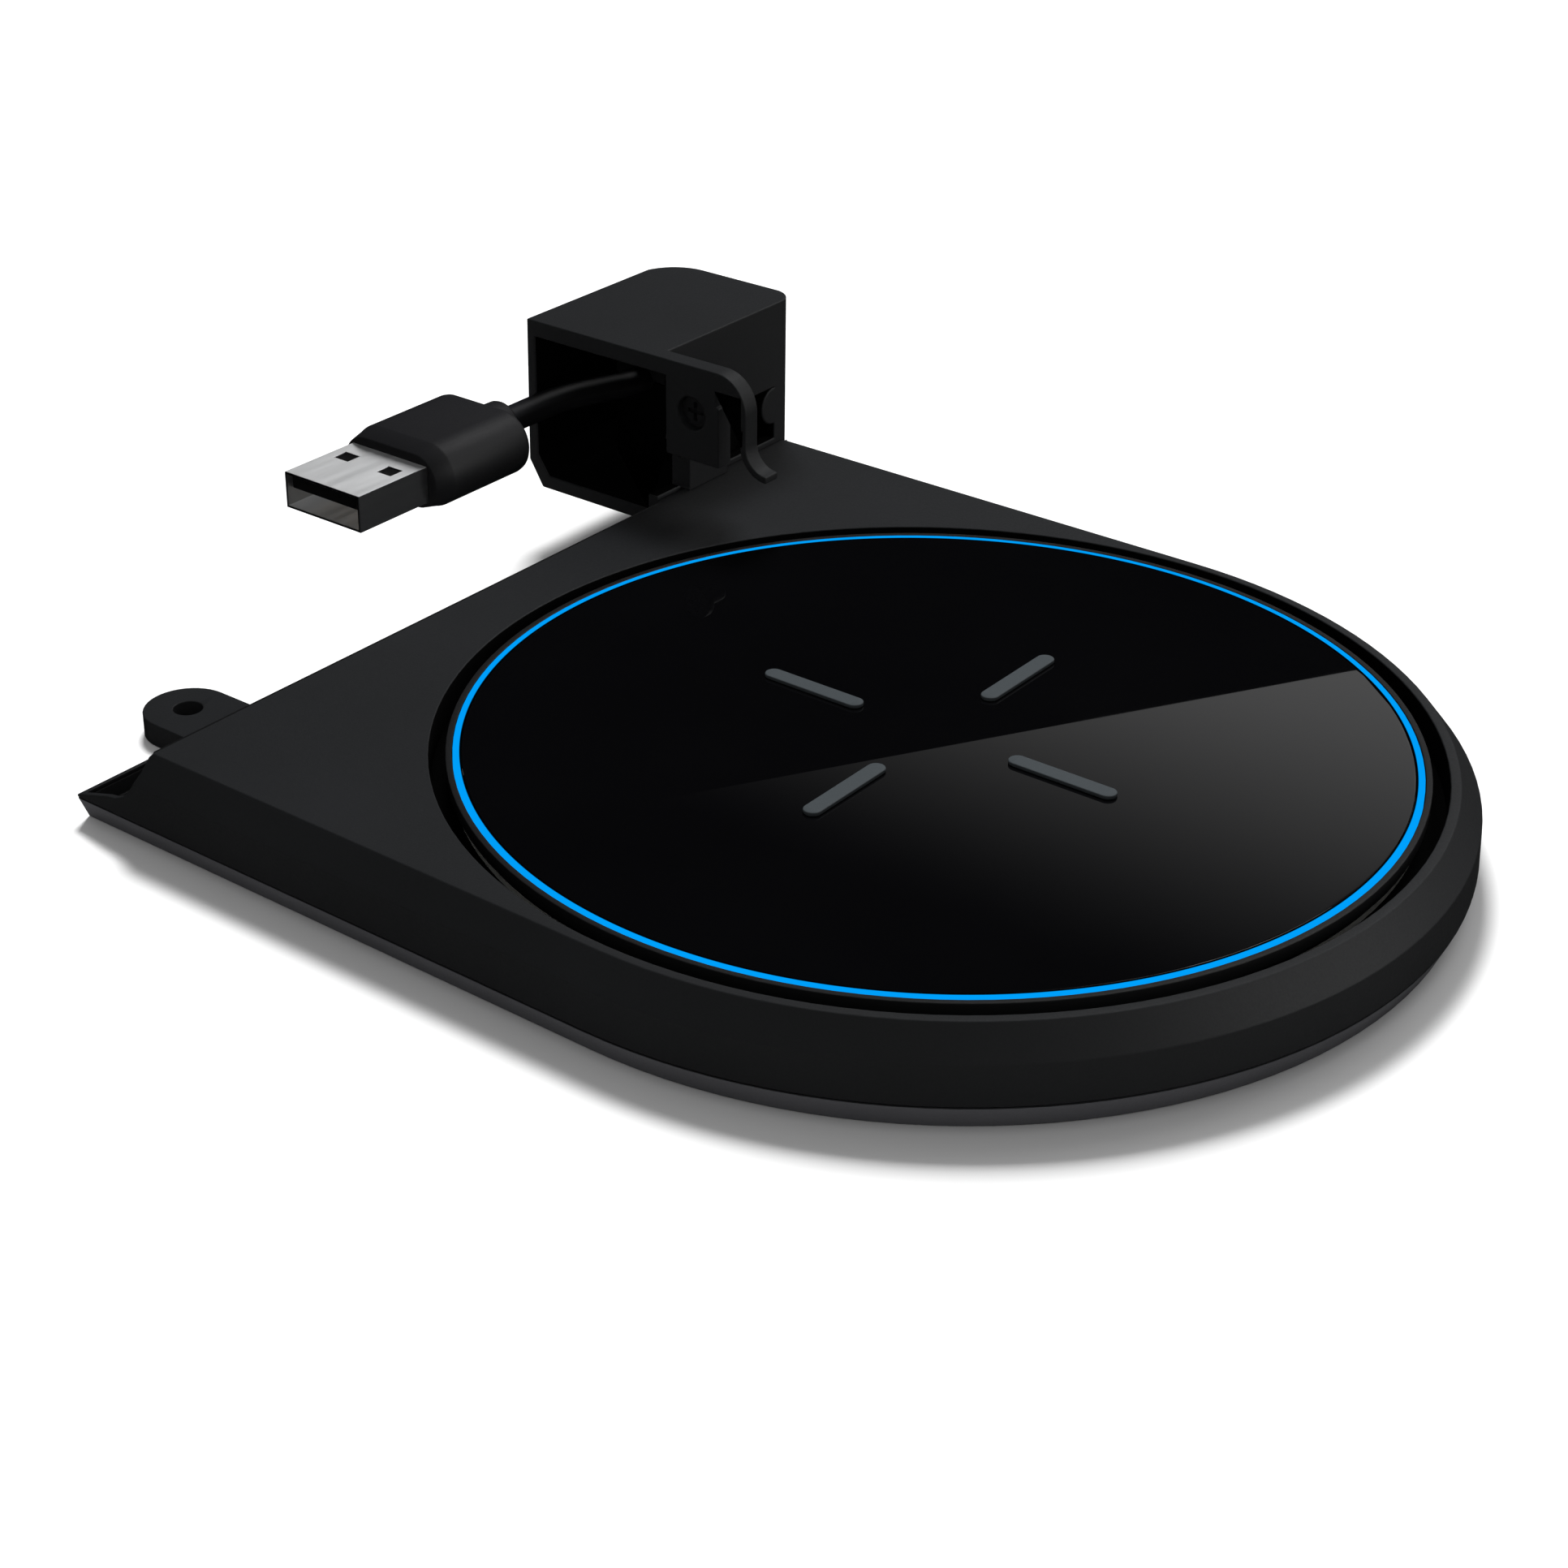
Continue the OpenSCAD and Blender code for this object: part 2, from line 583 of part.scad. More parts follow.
module clamp_screws() color([0.6, 0.6, 0.62]) {
    for (s = [-1, 1]) translate([clamp_mid_x + s * clamp_span, clamp_y0 + clamp_size[1] / 2, plug_z + 0.1 + clamp_size[2]])
        rotate([180, 0, 0]) screw(1.7, 1, 0.75, clamp_size[2] + 2);
}

module flange_screw() color([0.35, 0.35, 0.36]) {
    translate([screw_x, box_y0 + 1.9, screw_z]) rotate([-90, 0, 0]) screw(2, 1.1, screw_r, 3.4);
}

// ---------- lead ----------

// Flat two-core lead from the clamp, down through the box's bottom, round the board and into its connector
module inner_lead() color([0.5, 0.08, 0.06]) {
    top_z = plug_z + lead_t / 2;
    y0 = lead_y - lead_w / 2;
    x0 = cord_end[0] - lead_w / 2;
    down_x = tail_x + 8.8;
    run_z = z_cavity - lead_t - 0.2;
    run_y = board_l / 2 + 1;
    up_x = connector_x + (connector_size[0] - lead_w) / 2;
    plug_in = connector_y + connector_size[1];
    block([x0, y0, top_z - lead_t], [lead_x + lead_t - x0, lead_w, lead_t]);
    block([lead_x, y0, lead_z], [lead_t, lead_w, top_z - lead_z]);
    block([lead_x, y0, lead_z], [down_x + lead_w - lead_x, lead_w, lead_t]);
    block([down_x, y0, run_z], [lead_w, lead_w, lead_z + lead_t - run_z]);
    block([down_x, run_y, run_z], [lead_w, y0 + lead_w - run_y, lead_t]);
    block([down_x, run_y, run_z], [up_x + lead_w - down_x, lead_w, lead_t]);
    block([up_x, run_y, run_z], [lead_w, lead_w, z_parts + 0.3 + lead_t - run_z]);
    block([up_x, plug_in, z_parts + 0.3], [lead_w, run_y + lead_w - plug_in, lead_t]);
}

cord_sides = 8;

function unit(v) = v / norm(v);
function heading(i) = unit(cord_route[min(i + 1, len(cord_route) - 1)] - cord_route[max(i - 1, 0)]);
function cord_ring(i) = let (d = heading(i), side = unit(cross(d, [0, 0, 1])), up = cross(side, d))
    [for (k = [0 : cord_sides - 1]) cord_route[i] + cord_r * (cos(k * 360 / cord_sides + 22.5) * side
        + sin(k * 360 / cord_sides + 22.5) * up)];

module usb_cord() color([0.08, 0.08, 0.09]) {
    n = len(cord_route);
    points = [for (i = [0 : n - 1]) each cord_ring(i)];
    sides = [for (i = [0 : n - 2], k = [0 : cord_sides - 1]) let (m = (k + 1) % cord_sides)
        [i * cord_sides + k, i * cord_sides + m, (i + 1) * cord_sides + m, (i + 1) * cord_sides + k]];
    first = [for (k = [cord_sides - 1 : -1 : 0]) k];
    end = [for (k = [0 : cord_sides - 1]) (n - 1) * cord_sides + k];
    polyhedron(points, concat([first], sides, [end]));
}

// A bar along Y with fully rounded sides, seen along Y as a slot shape
module slot_bar(width, height, y0, y1) {
    translate([plug_x, y1, plug_z]) rotate([90, 0, 0]) linear_extrude(y1 - y0) {
        square([width - height, height], center = true);
        for (s = [-1, 1]) translate([s * (width - height) / 2, 0]) circle(d = height);
    }
}

shell_t = 0.3;
shell_sunk = 6;
front_step = 1.1;
front_in = 0.9;

module shell_block(grow, y0, y1) {
    size = [shell_w + 2 * grow, shell_h + 2 * grow];
    block([plug_x - size[0] / 2, y0, plug_z - size[1] / 2], [size[0], y1 - y0, size[1]]);
}

module plug_moulding() color([0.12, 0.12, 0.13]) {
    difference() {
        union() {
            slot_bar(plug_w, plug_h, plug_y0 + front_step, plug_y1);
            slot_bar(plug_w - 2 * front_in, plug_h - 2 * front_in, plug_y0, plug_y0 + front_step + eps);
            translate([plug_x, neck_y, plug_z]) rotate([90, 0, 0]) cylinder(r = neck_r, h = neck_len + 1, $fn = 48);
        }
        shell_block(fit, plug_y0 - 1, plug_y0 + shell_sunk);
        translate([plug_x, neck_y + 1, plug_z]) rotate([90, 0, 0]) cylinder(r = cord_r + fit, h = neck_len + 1.5, $fn = 48);
    }
}

hole_size = [2.2, 1.9];
hole_back = 6.7;

module plug_shell() color([0.75, 0.76, 0.78]) {
    difference() {
        shell_block(0, tip_y, plug_y0 + shell_sunk - fit);
        shell_block(-shell_t, tip_y - 1, plug_y0 + shell_sunk - 1);
        for (s = [-1, 1]) block([plug_x + s * 3 - hole_size[0] / 2 + s * 0.5, tip_y + hole_back, plug_z - shell_h],
            [hole_size[0], hole_size[1], 2 * shell_h]);
    }
}

tongue_size = [shell_w - 2 * shell_t - 0.2, 1.8];
tongue_z = plug_z + shell_h / 2 - shell_t - tongue_size[1] - 0.1;

module plug_tongue() color([0.9, 0.9, 0.92]) {
    block([plug_x - tongue_size[0] / 2, tip_y + 0.8, tongue_z],
        [tongue_size[0], plug_y0 + shell_sunk - 1.1 - tip_y - 0.8, tongue_size[1]]);
}

module plug_contacts() color([0.85, 0.65, 0.2]) {
    pitch = [[-3.5, 0], [-1, 1], [1, 1], [3.5, 0]];
    for (p = pitch) block([plug_x + p[0] - 0.5, tip_y + 1.6 + p[1], tongue_z - 0.15], [1, 8, 0.15]);
}

top_housing();
bottom_cover();
base_pad();
disc_tray();
tray_gasket();
glass_top();
light_guide();
grip_bars();
led_board();
leds();
charging_coil();
coil_leads();
thermistor();
ferrite_sheet();
main_board();
driver_chips();
resonance_capacitors();
inductor();
lead_connector();
inner_lead();
board_screws();
case_screws();
cable_box();
box_screws();
cord_clamp();
clamp_screws();
flange_screw();
usb_cord();
plug_moulding();
plug_shell();
plug_tongue();
plug_contacts();
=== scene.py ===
"""Wireless charging pad: the looks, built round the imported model.

Every size is in metres and in the model's own frame: the charging disc's axis is Z, the pad stands on z = 0.
"""

import math

import bmesh
import bpy
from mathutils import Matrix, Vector


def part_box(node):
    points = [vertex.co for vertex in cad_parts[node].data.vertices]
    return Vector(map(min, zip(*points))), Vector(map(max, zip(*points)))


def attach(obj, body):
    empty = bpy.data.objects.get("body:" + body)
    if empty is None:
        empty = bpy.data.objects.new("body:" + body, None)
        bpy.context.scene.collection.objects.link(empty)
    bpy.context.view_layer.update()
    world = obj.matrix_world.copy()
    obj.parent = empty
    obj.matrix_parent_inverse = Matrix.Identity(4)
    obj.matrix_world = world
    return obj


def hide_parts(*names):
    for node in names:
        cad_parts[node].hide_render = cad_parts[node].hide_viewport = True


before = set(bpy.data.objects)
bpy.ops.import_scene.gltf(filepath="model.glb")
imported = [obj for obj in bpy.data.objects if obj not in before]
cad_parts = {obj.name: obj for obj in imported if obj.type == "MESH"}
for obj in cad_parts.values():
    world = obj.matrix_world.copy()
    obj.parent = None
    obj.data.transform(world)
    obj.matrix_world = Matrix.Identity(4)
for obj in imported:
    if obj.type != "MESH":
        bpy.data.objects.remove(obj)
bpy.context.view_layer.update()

MM = 0.001

# ---------------------------------------------------------------------------
# Camera: a short telephoto, looking down on the pad from its front right. Its place is given in radii
# of the light ring, from the middle of the disc's top. The small shift frames the pad.
ring_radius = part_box("light_guide")[1][0]
disc_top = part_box("glass_top")[1][2]
camera_data = bpy.data.cameras.new("camera")
camera_data.sensor_width = 36
camera_data.lens = 67.4
camera_data.shift_x = 0.0385
camera_data.shift_y = -0.0635
camera = bpy.data.objects.new("camera", camera_data)
camera_right, camera_front, camera_up = 3.0105, -4.4868, 2.8869
camera.location = (camera_right * ring_radius, camera_front * ring_radius, camera_up * ring_radius + disc_top)
camera_tilt, camera_turn = math.radians(62.763), math.radians(38.518)
camera.rotation_euler = (camera_tilt, 0, camera_turn)
bpy.context.collection.objects.link(camera)
bpy.context.scene.camera = camera


# ---------------------------------------------------------------------------
# Plug lead: a short stiff cord in a soft PVC jacket. It is clamped inside the cable box and runs
# straight out of the box's mouth into the plug, so all of its length is in these points.
def colour(hex_code):
    """The linear colour of an sRGB hex code."""
    parts = [int(hex_code[i:i + 2], 16) / 255 for i in (1, 3, 5)]
    return tuple(p / 12.92 if p <= 0.04045 else ((p + 0.055) / 1.055) ** 2.4 for p in parts) + (1,)


def add(tree, kind, values=None, links=None, **settings):
    """Adds a node, with its settings, its sockets' values and what is linked into them."""
    new = tree.nodes.new(kind)
    for name, value in settings.items():
        setattr(new, name, value)
    for socket, value in (values or {}).items():
        new.inputs[socket].default_value = value
    for socket, source in (links or {}).items():
        tree.links.new(source, new.inputs[socket])
    return new


def finish_of(name, **shader_values):
    """A new material with one Principled shader. It comes back with its node tree and that shader."""
    made = bpy.data.materials.new(name)
    made.use_nodes = True
    tree = made.node_tree
    shader = tree.nodes["Principled BSDF"]
    for socket, value in shader_values.items():
        shader.inputs[socket.replace("_", " ")].default_value = value
    return made, tree, shader


def place(tree):
    """Coordinates in metres that stay with the piece."""
    return add(tree, "ShaderNodeTexCoord").outputs["Object"]


def grain(tree, shader, size, height):
    """A moulded grain of that size and height, as a bump on the shader's normal."""
    noise = add(tree, "ShaderNodeTexNoise", {"Scale": 1 / size, "Detail": 2.0}, {"Vector": place(tree)})
    bump = add(tree, "ShaderNodeBump", {"Strength": 1.0, "Distance": height},
               {"Height": noise.outputs["Fac"]})
    tree.links.new(bump.outputs["Normal"], shader.inputs["Normal"])
    return noise.outputs["Fac"]


def spread(tree, source, low, high, shader, socket):
    """Links a pattern to one of the shader's sockets, from low to high.

    Colours are mixed over the pattern's whole range. Numbers use its middle, 0.3 to 0.7.
    """
    if isinstance(low, tuple):
        mixed = add(tree, "ShaderNodeMix", {6: low, 7: high}, {0: source}, data_type="RGBA")
        tree.links.new(mixed.outputs[2], shader.inputs[socket])
        return
    span = add(tree, "ShaderNodeMapRange", {"From Min": 0.3, "From Max": 0.7, "To Min": low, "To Max": high},
               {"Value": source})
    tree.links.new(span.outputs["Result"], shader.inputs[socket])


# Flexible PVC, extruded: a soft sheen with faint ripples, 0.8 mm apart.
pvc, tree, shader = finish_of("extruded_pvc", Roughness=0.5, Specular_IOR_Level=0.35, IOR=1.52)
ripple = grain(tree, shader, 0.8 * MM, 0.01 * MM)
spread(tree, ripple, colour("#141416"), colour("#1b1b1e"), shader, "Base Color")

# The route in mm, all at one height, from the clamp to the plug's neck.
cord_diameter = 3.4 * MM
cord_height = 18.75
cord_steps = [(-74.5, 47.2), (-74.5, 44.5), (-74.5, 42), (-74.9, 39.5), (-75.9, 37), (-77.1, 34), (-78, 31),
              (-78.4, 28), (-78.45, 25), (-78.45, 22), (-78.45, 19), (-78.45, 16.5)]
cord_route = [(x, y, cord_height) for x, y in cord_steps]


def tube(name, points, diameter, finish):
    """A round tube of that diameter along the points, in metres, as one smooth curve."""
    data = bpy.data.curves.new(name, "CURVE")
    data.dimensions = "3D"
    data.bevel_depth = diameter / 2
    data.bevel_resolution = 6
    data.use_fill_caps = True
    data.resolution_u = 8
    spline = data.splines.new("BEZIER")
    spline.bezier_points.add(len(points) - 1)
    for knot, point in zip(spline.bezier_points, points):
        knot.co = point
        knot.handle_left_type = knot.handle_right_type = "AUTO"
    made = bpy.data.objects.new(name, data)
    bpy.context.collection.objects.link(made)
    data.materials.append(finish)
    return made


cord = tube("lead_cord", [Vector(p) * MM for p in cord_route], cord_diameter, pvc)
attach(cord, "root")
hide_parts("usb_cord")


# ---------------------------------------------------------------------------
# Floor and light: a pale seamless floor under an even white sky. The main light is a soft box above
# and behind the pad, so the pad's shadow falls towards the front. What the polished disc mirrors is
# a pale card behind the pad on the right, and a weak sheen box at the back that all pieces mirror.
def panel(name, corners, finish):
    """A flat sheet of the studio with those four corners."""
    mesh = bpy.data.meshes.new(name)
    mesh.from_pydata(corners, [], [(0, 1, 2, 3)])
    mesh.materials.append(finish)
    made = bpy.data.objects.new(name, mesh)
    bpy.context.collection.objects.link(made)
    return made


# Matt paper: an even pale grey with next to no shine. The floor lies a hair under the pad's foot.
paper_grey = (0.86, 0.86, 0.86, 1)
paper = finish_of("pale_paper", Base_Color=paper_grey, Roughness=0.9, Specular_IOR_Level=0.1)[0]
floor_reach = 4
square = [(-1, -1), (1, -1), (1, 1), (-1, 1)]
floor_corners = [(x * floor_reach, y * floor_reach, -0.02 * MM) for x, y in square]
floor = panel("floor", floor_corners, paper)
floor.visible_glossy = False

world = bpy.data.worlds.new("studio")
world.use_nodes = True
sky = world.node_tree.nodes["Background"]
sky.inputs["Color"].default_value = colour("#ffffff")
sky.inputs["Strength"].default_value = 0.36

# Glossy pieces mirror neither the sky nor the floor.
world.cycles_visibility.glossy = False
bpy.context.scene.world = world
bpy.context.scene.view_settings.view_transform = "Standard"


def soft_light(name, size, location, aim, power, mirrored=False):
    """A square soft box of that power in watts, which points at aim."""
    data = bpy.data.lights.new(name, "AREA")
    data.shape = "SQUARE"
    data.size = size
    data.energy = power
    made = bpy.data.objects.new(name, data)
    made.visible_glossy = mirrored
    made.location = location
    made.rotation_euler = (Vector(aim) - Vector(location)).to_track_quat("-Z", "Y").to_euler()
    bpy.context.collection.objects.link(made)
    return made


soft_light("back_box", 0.36, (-0.55, 0.62, 1.1), (0, 0, 0), 24.5)
soft_light("sheen_box", 0.7, (0, 0.95, 0.95), (0, 0, 0), 3.6, mirrored=True)

# The card lies level. A point of it is seen in the disc on the line from the camera's mirror image.
card_height = 0.44
card_width = 1.5
mirror_eye = Vector((camera.location.x, camera.location.y, 2 * disc_top - camera.location.z))


def seen_at(x, y):
    """The place on the card that the disc shows at x, y."""
    reach = (card_height - mirror_eye.z) / (disc_top - mirror_eye.z)
    return (mirror_eye.x + reach * (x - mirror_eye.x), mirror_eye.y + reach * (y - mirror_eye.y), card_height)


# The card glows white, and fades out towards the front of the disc.
glow, tree, shader = finish_of("card_glow")
tree.nodes.remove(shader)
card_place = add(tree, "ShaderNodeSeparateXYZ", None, {"Vector": place(tree)})
dark_from, full_from = seen_at(0, -30 * MM)[1], seen_at(0, 45 * MM)[1]
card_strength = 0.62
fade = add(tree, "ShaderNodeMapRange",
           {"From Min": dark_from, "From Max": full_from, "To Min": 0.0, "To Max": card_strength},
           {"Value": card_place.outputs["Y"]}, interpolation_type="SMOOTHSTEP")
card_light = add(tree, "ShaderNodeEmission", {"Color": colour("#ffffff")},
                 {"Strength": fade.outputs["Result"]})
tree.links.new(card_light.outputs["Emission"], tree.nodes["Material Output"].inputs["Surface"])

# Its left edge crosses the disc as one straight line, and the rest lies to the right of that.
edge_front, edge_back = seen_at(-28 * MM, -53 * MM), seen_at(58 * MM, 92 * MM)
card = panel("card", [edge_front, (edge_front[0] + card_width, edge_front[1], card_height),
                      (edge_back[0] + card_width, edge_back[1], card_height), edge_back], glow)
card.visible_camera = False
card.visible_shadow = False


# ---------------------------------------------------------------------------
# Bottom cover: the lower half of the case with the screw ear moulded on. Injection-moulded ABS,
# like the top, with a fine spark-eroded grain. The slope under its rim is painted paler: painted light,
# the pale floor's reflection in it.
def rounded(node, name, radius, finish, segments=2, sharp=28):
    """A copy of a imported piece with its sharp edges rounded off, which stands for that piece.

    Edges that turn more than sharp degrees are rounded, after triangles that lie flat are merged.
    """
    weld, flat, crease = 0.002 * MM, math.radians(0.6), math.radians(40)
    mesh = bpy.data.meshes.new(name)
    work = bmesh.new()
    work.from_mesh(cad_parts[node].data)
    bmesh.ops.remove_doubles(work, verts=work.verts, dist=weld)
    bmesh.ops.dissolve_limit(work, angle_limit=flat, verts=work.verts, edges=work.edges)
    edges = [e for e in work.edges if len(e.link_faces) == 2 and e.calc_face_angle(0) > math.radians(sharp)]
    bmesh.ops.bevel(work, geom=edges, offset=radius, segments=segments, profile=0.5, affect="EDGES",
                    clamp_overlap=False, loop_slide=True)
    bmesh.ops.triangulate(work, faces=[f for f in work.faces if len(f.verts) > 4])
    for face in work.faces:
        face.smooth = True
    work.to_mesh(mesh)
    work.free()
    mesh.set_sharp_from_angle(angle=crease)
    mesh.materials.clear()
    mesh.materials.append(finish)
    made = bpy.data.objects.new(name, mesh)
    bpy.context.collection.objects.link(made)
    made.modifiers.new("even_normals", "WEIGHTED_NORMAL").keep_sharp = True
    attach(made, "root")
    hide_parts(node)
    return made


# ABS, moulded and textured: satin, with a fine even grain of 0.22 mm. Its colour drifts a little over
# patches of about 17 mm, 60 of them to the metre.
def satin_abs(name, dark, pale, rough):
    """Moulded black ABS between two tones."""
    made, tree, shader = finish_of(name, IOR=1.53, Specular_IOR_Level=0.5)
    texture = grain(tree, shader, 0.22 * MM, 0.006 * MM)
    patches = add(tree, "ShaderNodeTexNoise", {"Scale": 60, "Detail": 3}, {"Vector": place(tree)})
    drift = patches.outputs["Fac"]
    spread(tree, drift, colour(dark), colour(pale), shader, "Base Color")
    spread(tree, texture, rough - 0.04, rough + 0.05, shader, "Roughness")
    return made


abs_black = satin_abs("satin_abs", "#18191a", "#1c1d1f", 0.55)
# The rim's paler tones are painted light: the floor's reflection, baked into its colour.
abs_rim_painted_light = satin_abs("satin_abs_rim", "#48484b", "#525255", 0.5)
cover = rounded("bottom_cover", "bottom_cover_shell", 0.15 * MM, abs_black)

# The slope under the rim is painted paler than the rest. This is painted light that stands for the pale
# floor's reflection in it. Its faces look down and out, and end just below the seam.
slope_steepest, slope_flattest, slope_top = -0.15, -0.9, 2.74 * MM
cover.data.materials.append(abs_rim_painted_light)
for face in cover.data.polygons:
    if slope_flattest < face.normal.z < slope_steepest and face.center.z < slope_top:
        face.material_index = 1


# Base pad: a thin ring of black rubber, set flush into the bottom cover so that the pad doesn't slide.
def dress(node, finish):
    """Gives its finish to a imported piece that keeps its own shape."""
    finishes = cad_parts[node].data.materials
    finishes.clear()
    finishes.append(finish)


# Moulded rubber: dull and dark, with a coarse grain of 0.3 mm.
rubber, tree, shader = finish_of("moulded_rubber", Roughness=0.85, Specular_IOR_Level=0.3)
rubber_grain = grain(tree, shader, 0.3 * MM, 0.02 * MM)
spread(tree, rubber_grain, colour("#0e0e0f"), colour("#17171a"), shader, "Base Color")
dress("base_pad", rubber)

# ---------------------------------------------------------------------------
# Top housing: the D-shaped upper half with two facets round its edge, a round well for the disc and
# a hollowed tail that thins to a lip. Injection-moulded ABS with the mould's fine grain.
housing = rounded("top_housing", "top_housing_shell", 0.12 * MM, abs_black)


def plain(name, dark, pale, rough, size, **values):
    """A moulded or fired finish between two tones, with a pattern of that size."""
    made, tree, shader = finish_of(name, **values)
    mottle = grain(tree, shader, size, 0.01 * MM)
    spread(tree, mottle, colour(dark), colour(pale), shader, "Base Color")
    spread(tree, mottle, rough - 0.05, rough + 0.05, shader, "Roughness")
    return made


# The well's wall and floor get a near-black matt colour. It is painted shade that keeps the gap round the
# disc dark.
painted_shade_black = plain("painted_shade_abs", "#020202", "#040404", 0.9, 0.4 * MM, Specular_IOR_Level=0.1)


def blacken(piece, hidden):
    """Gives the near-black painted shade to the faces whose centre hidden() picks."""
    piece.data.materials.append(painted_shade_black)
    for face in piece.data.polygons:
        if hidden(face.center):
            face.material_index = len(piece.data.materials) - 1


# The well's wall stands 2.5 mm outside the ring. Its top edge keeps the housing's own finish.
well_radius = ring_radius + 2.5 * MM
wall_slack = 0.03 * MM
well_top = disc_top - 0.35 * MM
blacken(housing, lambda at: math.hypot(at.x, at.y) < well_radius + wall_slack and at.z < well_top)

# ---------------------------------------------------------------------------
# Disc tray: the black bezel that stands in the well and carries the disc and the light. Moulded ABS
# like the housing, a little darker, with the same fine grain.
abs_bezel = satin_abs("satin_abs_bezel", "#121213", "#151617", 0.5)
bezel = rounded("disc_tray", "disc_bezel", 0.1 * MM, abs_bezel)

# ---------------------------------------------------------------------------
# Disc: one round of tempered glass painted black behind, bonded into the bezel. Polished, so it
# mirrors the studio with a hard clear edge, and faint smears of about 22 mm, 45 to the metre, dull it.
glass, tree, shader = finish_of("black_backed_glass", IOR=1.5, Specular_IOR_Level=0.5)
smear = add(tree, "ShaderNodeTexNoise", {"Scale": 45, "Detail": 4}, {"Vector": place(tree)}).outputs["Fac"]
spread(tree, smear, 0.0, 0.012, shader, "Roughness")
spread(tree, smear, colour("#040405"), colour("#070708"), shader, "Base Color")
rounded("glass_top", "glass_disc", 0.08 * MM, glass, segments=3)

# ---------------------------------------------------------------------------
# Light guide: a frosted acrylic ring between the bezel and the disc, lit blue from below by the lamps
# on their board. It glows evenly all the way round, with a slight drift over 14 mm, 70 to the metre.
lit, tree, shader = finish_of("lit_acrylic", Roughness=0.6, Specular_IOR_Level=0.0)
shader.inputs["Base Color"].default_value = colour("#000305")
patch = add(tree, "ShaderNodeTexNoise", {"Scale": 70, "Detail": 1}, {"Vector": place(tree)}).outputs["Fac"]
spread(tree, patch, colour("#009cf6"), colour("#00a2fd"), shader, "Emission Color")

# The disc's painted border covers the ring's inner edge, so only its outer part shows light.
flat_place = add(tree, "ShaderNodeVectorMath", {1: (1, 1, 0)}, {0: place(tree)}, operation="MULTIPLY")
reach = add(tree, "ShaderNodeVectorMath", None, {0: flat_place.outputs["Vector"]}, operation="LENGTH")
dark_radius, lit_radius = ring_radius - 0.72 * MM, ring_radius - 0.66 * MM
border = add(tree, "ShaderNodeMapRange",
             {"From Min": dark_radius, "From Max": lit_radius, "To Min": 0.0, "To Max": 1.0},
             {"Value": reach.outputs["Value"]})
tree.links.new(border.outputs["Result"], shader.inputs["Emission Strength"])
light_ring = rounded("light_guide", "light_ring", 0.08 * MM, lit)

# The ring glows without throwing a visible blue light on what stands round it.
light_ring.visible_diffuse = False
light_ring.visible_glossy = False

# ---------------------------------------------------------------------------
# Grip bars: four silicone strips in a cross, bonded to the disc, which keep a phone from sliding.
# Moulded silicone is a dull dark grey with a fine grain of 0.2 mm.
silicone, tree, shader = finish_of("grey_silicone", Roughness=0.6, Specular_IOR_Level=0.4)
silicone_grain = grain(tree, shader, 0.2 * MM, 0.006 * MM)
spread(tree, silicone_grain, colour("#383d40"), colour("#3f4447"), shader, "Base Color")
rounded("grip_bars", "grip_bar_strips", 0.12 * MM, silicone)

# ---------------------------------------------------------------------------
# Cable box: one ABS moulding with its front flange, open slot and curled hook, and the side window
# with its boss. It is screwed up from below by a tongue inside the housing.
box_shell = rounded("cable_box", "cable_box_shell", 0.18 * MM, abs_black, segments=3)

# Inside, the moulding is painted near black. This painted shade makes the mouth look like a dark hole.
# The space that is blackened is a plain box. It leaves the flat walls' outer faces satin, but it also
# takes in a strip of the rounded back left corner's outer face.
box_low, box_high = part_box("cable_box")
box_width = 21 * MM
left_skin, right_skin = 0.9 * MM, 0.35 * MM
front_skin, back_skin = 0.35 * MM, 0.9 * MM
floor_skin, roof_skin = 1 * MM, 1.5 * MM
box_right = box_low[0] + box_width
inner_low = (box_low[0] + left_skin, box_low[1] + front_skin, box_low[2] + floor_skin)
inner_high = (box_right - right_skin, box_high[1] - back_skin, box_high[2] - roof_skin)
blacken(box_shell, lambda at: all(low < spot < high for low, spot, high in zip(inner_low, at, inner_high)))

# The polished disc doesn't mirror the box.
box_shell.visible_glossy = False
rounded("cord_clamp", "cord_clamp_bar", 0.2 * MM, abs_black)

# Screws: zinc-plated steel with a cross recess. The plating is a blurred grey mirror with crystals
# drawn at 0.67 mm, 1500 to the metre, coarser than the real ones so that they show.
zinc, tree, shader = finish_of("zinc_plated_steel", Metallic=1.0)
crystals = add(tree, "ShaderNodeTexNoise", {"Scale": 1500, "Detail": 3}, {"Vector": place(tree)})
plating = crystals.outputs["Fac"]
spread(tree, plating, 0.32, 0.45, shader, "Roughness")
spread(tree, plating, colour("#8a8c8f"), colour("#a0a2a5"), shader, "Base Color")
for screws in ("case_screws", "box_screws", "clamp_screws", "board_screws"):
    rounded(screws, screws + "_turned", 0.08 * MM, zinc)

# The screw in the flange is blacked steel, dark and dull, so it hardly shows in its hole.
blacked = plain("blacked_steel", "#1c1c1e", "#222224", 0.5, 0.4 * MM, Metallic=0.2)
rounded("flange_screw", "flange_screw_turned", 0.08 * MM, blacked)

# ---------------------------------------------------------------------------
# Plug: a folded tin-plated shell round a black tongue with four gilt contacts, held in a soft
# overmoulded grip that ends in a short neck round the cord.

